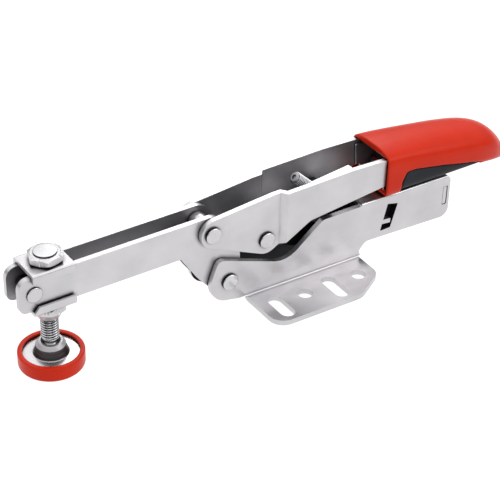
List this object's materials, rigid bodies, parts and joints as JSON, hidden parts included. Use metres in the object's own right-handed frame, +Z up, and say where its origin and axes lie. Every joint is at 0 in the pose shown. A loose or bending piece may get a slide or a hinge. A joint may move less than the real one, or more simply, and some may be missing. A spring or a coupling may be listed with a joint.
{
  "type": "horizontal toggle clamp",
  "caption": "Horizontal toggle clamp with an open arm, a sliding spindle with a capped swivel pad, a flanged base and a plastic grip.",
  "frame": {"origin": "centre of the base's pattern of holes and slots, on the underside of its flanges", "axes": "+X from the clamping tip to the grip, +Z up out of the mounting surface, +Y to the left"},
  "size_m": [0.2597, 0.07, 0.0603],
  "materials": {
    "zinc_plated_steel": "bright zinc plating",
    "bright_steel": "bright turned or pressed steel",
    "red_plastic": "satin moulded plastic",
    "dark_plastic": "matt soft plastic"
  },
  "bodies": {
    "base": {"base_body": "zinc_plated_steel", "end_plate": "zinc_plated_steel", "base_rivet": "bright_steel", "return_spring": "bright_steel"},
    "arm": {"arm_plate_near": "zinc_plated_steel", "arm_plate_far": "zinc_plated_steel", "base_bush": "bright_steel", "handle_rivet": "bright_steel", "handle_bush": "bright_steel", "tip_rivet": "bright_steel", "tip_bush": "bright_steel"},
    "carrier": {"upper_saddle": "zinc_plated_steel", "lower_saddle": "zinc_plated_steel", "top_nut": "zinc_plated_steel", "lock_nut": "zinc_plated_steel"},
    "spindle": {"spindle": "bright_steel"},
    "pad": {"pad_plate": "bright_steel", "pad_cap": "red_plastic"},
    "handle": {"handle_plate_near": "zinc_plated_steel", "handle_plate_far": "zinc_plated_steel", "link_washer_near": "bright_steel", "link_washer_far": "bright_steel", "link_rivet": "bright_steel", "screw_block": "bright_steel", "grip_shell": "red_plastic", "grip_insert": "dark_plastic"},
    "link": {"toggle_link": "bright_steel", "link_pin": "bright_steel"},
    "slider": {"slider": "bright_steel"},
    "screw": {"adjusting_screw": "bright_steel"}
  },
  "joints": [
    {"name": "arm_hinge", "type": "hinge", "parent": "base", "child": "arm", "pos_m": [-0.0402, 0, 0.0137], "axis": [0, 1, 0], "range_deg": [0, 61.8]},
    {"name": "handle_hinge", "type": "hinge", "parent": "arm", "child": "handle", "pos_m": [-0.0493, 0, 0.0409], "axis": [0, 1, 0], "range_deg": [-119.6, 0]},
    {"name": "link_hinge", "type": "hinge", "parent": "handle", "child": "link", "pos_m": [-0.0212, 0, 0.0292], "axis": [0, 1, 0], "range_deg": [0, 117.8]},
    {"name": "carrier_slide", "type": "slide", "parent": "arm", "child": "carrier", "axis": [0.9999, 0, 0.0171], "range_m": [0, 0.04]},
    {"name": "spindle_slide", "type": "slide", "parent": "carrier", "child": "spindle", "axis": [-0.0171, 0, 0.9999], "range_m": [0, 0.008]},
    {"name": "pad_tilt", "type": "hinge", "parent": "spindle", "child": "pad", "pos_m": [-0.12376, 0, 0.00467], "axis": [0, 1, 0], "range_deg": [-10, 10]},
    {"name": "slider_slide", "type": "slide", "parent": "base", "child": "slider", "axis": [1, 0, 0], "range_m": [0, 0.008], "stiffness_N_per_m": 2000, "springref_m": -0.004},
    {"name": "screw_slide", "type": "slide", "parent": "handle", "child": "screw", "axis": [-0.7314, 0, 0.682], "range_m": [-0.002, 0.002]}
  ],
  "couplings": [
    {"joint": "handle_hinge", "follows": "arm_hinge", "ratio": -1.934},
    {"joint": "link_hinge", "follows": "arm_hinge", "ratio": 1.905}
  ]
}
